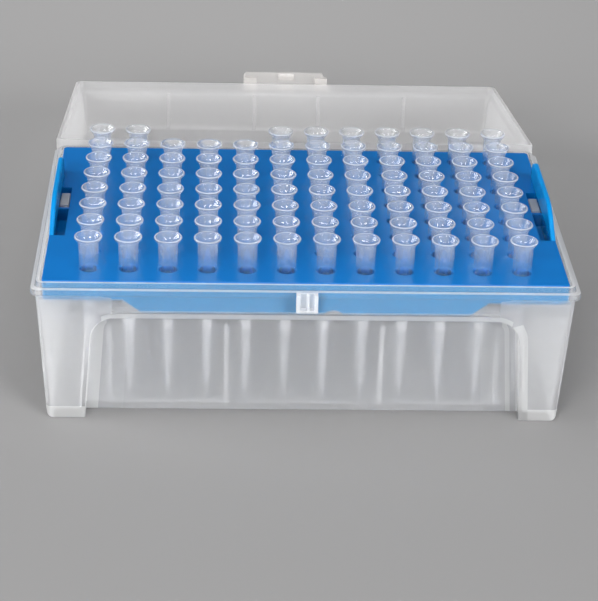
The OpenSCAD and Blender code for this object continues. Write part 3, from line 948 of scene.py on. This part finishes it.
def tip_mats():
    """Material of each strip: thin walls let more through, the rim and the shank's step are whiter."""
    out = []
    n = len(TIP_ROWS)
    for k in range(n):
        z = 0.5 * (TIP_ROWS[k][1] + TIP_ROWS[(k + 1) % n][1])
        r = float(np.mean(TIP_ROWS[k][0]))
        if k < 2 or k >= n - 2:
            out.append(1)
        elif z < -16.4:
            out.append(2 if -22.3 < z < -20.4 and r > 1.1 else 3)
        elif z < -12.5:
            out.append(3)
        # strips in and under the plate's hole take material 7, the painted blue shade
        elif z < -8.11:
            out.append(7)
        elif z < -7.6:
            out.append(6)
        elif z < -6.8:
            out.append(5)
        elif z < -4.0:
            out.append(4)
        else:
            out.append(0)
    return out


TIP_MATS = tip_mats()


def build_column(c):
    b = Build()
    for r in range(1, 9):
        if r == 8 and c in (3, 4, 5):
            continue
        x0, y0 = (c - 6.5) * PITCH, (r - 4.5) * PITCH
        turn = rng.uniform(0, 2 * math.pi)
        lean = math.radians(rng.uniform(0.0, 0.35))
        way = rng.uniform(0, 2 * math.pi)
        tx, ty = math.tan(lean) * math.cos(way), math.tan(lean) * math.sin(way)
        rings = []
        for rad, z in TIP_ROWS:
            rad = np.broadcast_to(rad, (SEG,))
            x = rad * np.cos(TIP_A + turn)
            y = rad * np.sin(TIP_A + turn)
            # a tip leans about its seat on the deck
            dz = z + 8.1
            zz = z - (x * tx + y * ty) * 0.6
            rings.append(b.add(np.column_stack([x0 + x + tx * dz, y0 + y + ty * dz, np.minimum(RIM_Z + zz, RIM_Z)])))
        nr = len(rings)
        b.loft(rings + [rings[0]], lambda k, i: TIP_MATS[k])
    return b


for c in range(1, 13):
    o = build_column(c).make("tips_%02d" % c, [MAT_TIP, MAT_RIM, MAT_NECK, MAT_SHANK, MAT_TIP_MID, MAT_TIP_LOW, MAT_TIP_SEAT, MAT_TIP_PLATE_SHADE], "box", angle=60, weighted=False)
    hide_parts("tips_column_%02d" % c)


# ---------------------------------------------------------------- floor, light
def floor_material():
    m, nt, nodes, links = node_tree("stage")
    out = nodes.new("ShaderNodeOutputMaterial")
    p = nodes.new("ShaderNodeBsdfPrincipled")
    p.inputs["Base Color"].default_value = (0.200, 0.198, 0.198, 1)
    p.inputs["Roughness"].default_value = 0.75
    p.inputs["Specular IOR Level"].default_value = 0.3
    links.new(p.outputs["BSDF"], out.inputs["Surface"])
    return m


fm = bpy.data.meshes.new("stage_floor")
S = 3.0
fm.from_pydata([(-S, -S, 0), (S, -S, 0), (S, S, 0), (-S, S, 0)], [], [(0, 1, 2, 3)])
fm.materials.append(floor_material())
floor = bpy.data.objects.new("stage_floor", fm)
bpy.context.scene.collection.objects.link(floor)


def area(name, loc, target, size, power, color=(1, 1, 1)):
    d = bpy.data.lights.new(name, "AREA")
    d.shape = "RECTANGLE"
    d.size, d.size_y = size
    d.energy = power
    d.color = color
    o = bpy.data.objects.new(name, d)
    bpy.context.scene.collection.objects.link(o)
    o.location = loc
    o.rotation_euler = (Vector(target) - Vector(loc)).to_track_quat("-Z", "Y").to_euler()
    return o


area("key", (-0.75, -1.65, 0.75), (0, 0.02, 0.02), (1.05, 0.68), 45.0, (1.0, 0.995, 0.985))
area("fill", (1.05, -1.25, 0.60), (0.02, 0.02, 0.02), (0.9, 0.6), 36.0, (0.985, 0.99, 1.0))
area("left", (-0.95, 0.0, 0.40), (0, 0.0, 0), (0.5, 0.5), 8.5, (1.0, 1.0, 1.0))
area("top", (0.0, -0.30, 1.25), (0, 0.0, 0), (0.9, 0.7), 8.0, (1.0, 1.0, 1.0))

d = bpy.data.lights.new("backdrop", "SPOT")
d.energy = 42.0
d.spot_size = math.radians(34)
d.spot_blend = 1.0
d.shadow_soft_size = 0.15
o = bpy.data.objects.new("backdrop", d)
bpy.context.scene.collection.objects.link(o)
o.location = (0.0, 0.37, 1.2)

world = bpy.data.worlds.new("studio")
bpy.context.scene.world = world
world.use_nodes = True
wn = world.node_tree.nodes
wn.clear()
bg = wn.new("ShaderNodeBackground")
bg.inputs["Color"].default_value = (0.96, 0.98, 1.0, 1)
bg.inputs["Strength"].default_value = 0.12
wo = wn.new("ShaderNodeOutputWorld")
world.node_tree.links.new(bg.outputs["Background"], wo.inputs["Surface"])

bpy.context.scene.view_settings.view_transform = "Standard"
bpy.context.scene.view_settings.look = "None"
bpy.context.scene.cycles.max_bounces = 14
bpy.context.scene.cycles.diffuse_bounces = 4
bpy.context.scene.cycles.glossy_bounces = 4
bpy.context.scene.cycles.transmission_bounces = 14
bpy.context.scene.cycles.transparent_max_bounces = 20
